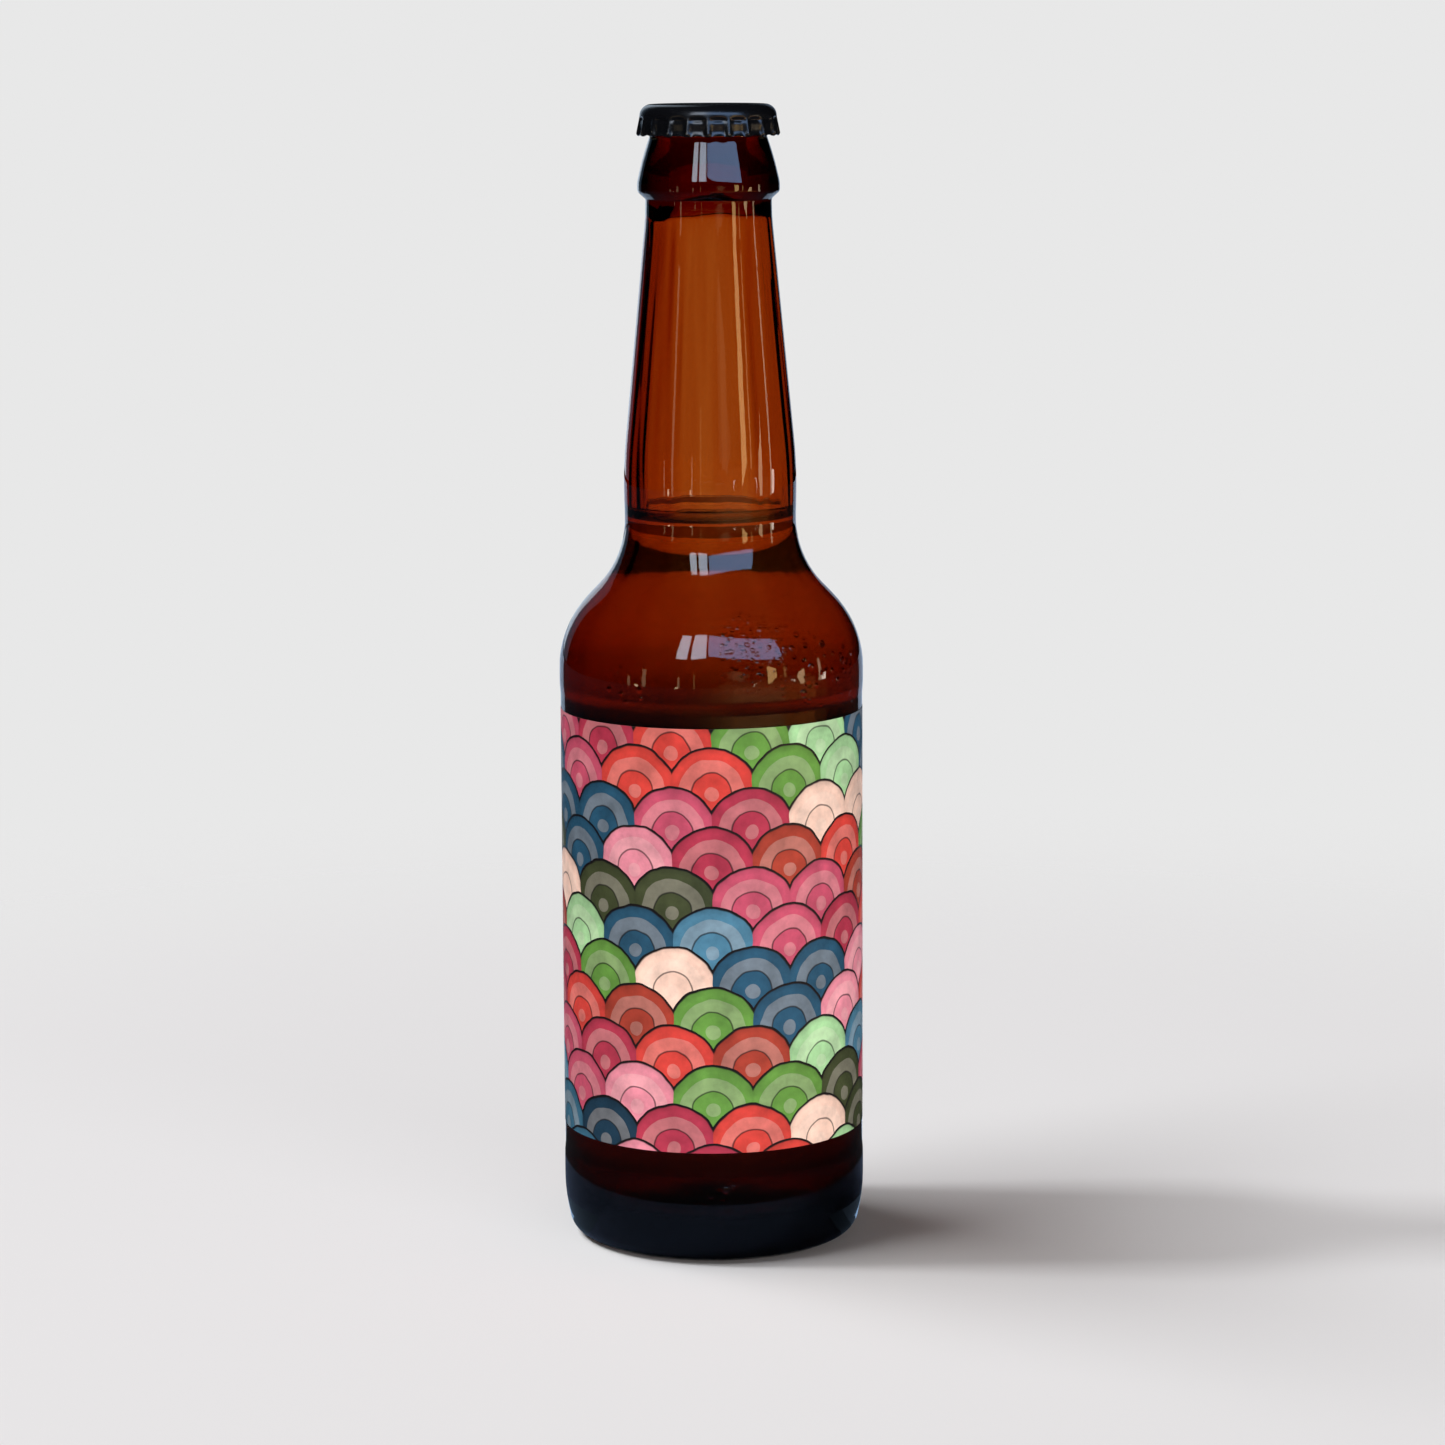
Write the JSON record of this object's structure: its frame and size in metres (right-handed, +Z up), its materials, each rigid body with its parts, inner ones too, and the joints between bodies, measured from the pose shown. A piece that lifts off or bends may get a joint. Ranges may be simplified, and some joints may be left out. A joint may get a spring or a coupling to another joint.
{
  "type": "glass bottle",
  "caption": "Amber longneck glass drinks bottle, filled, with a wrap label and a fluted crown cap that lifts off the mouth.",
  "frame": {"origin": "on the bottle's axis, in the plane of the ring that it stands on", "axes": "+Z up along the bottle's axis, -Y towards the middle of the label, +X to the right seen from the label"},
  "size_m": [0.061, 0.061, 0.2282],
  "materials": {
    "amber_glass": "polished",
    "drink": "polished",
    "label_adhesive": "satin",
    "label_paper": "satin",
    "cap_lacquer": "gloss",
    "cap_liner": "matte"
  },
  "bodies": {
    "bottle": {"glass_bottle": "amber_glass", "drink": "drink", "label_adhesive": "label_adhesive", "wrap_label": "label_paper"},
    "crown": {"crown_cap": "cap_lacquer", "cap_liner": "cap_liner"}
  },
  "joints": [
    {"name": "cap_lift", "type": "slide", "parent": "bottle", "child": "crown", "axis": [0, 0, 1], "range_m": [0, 0.06]}
  ]
}
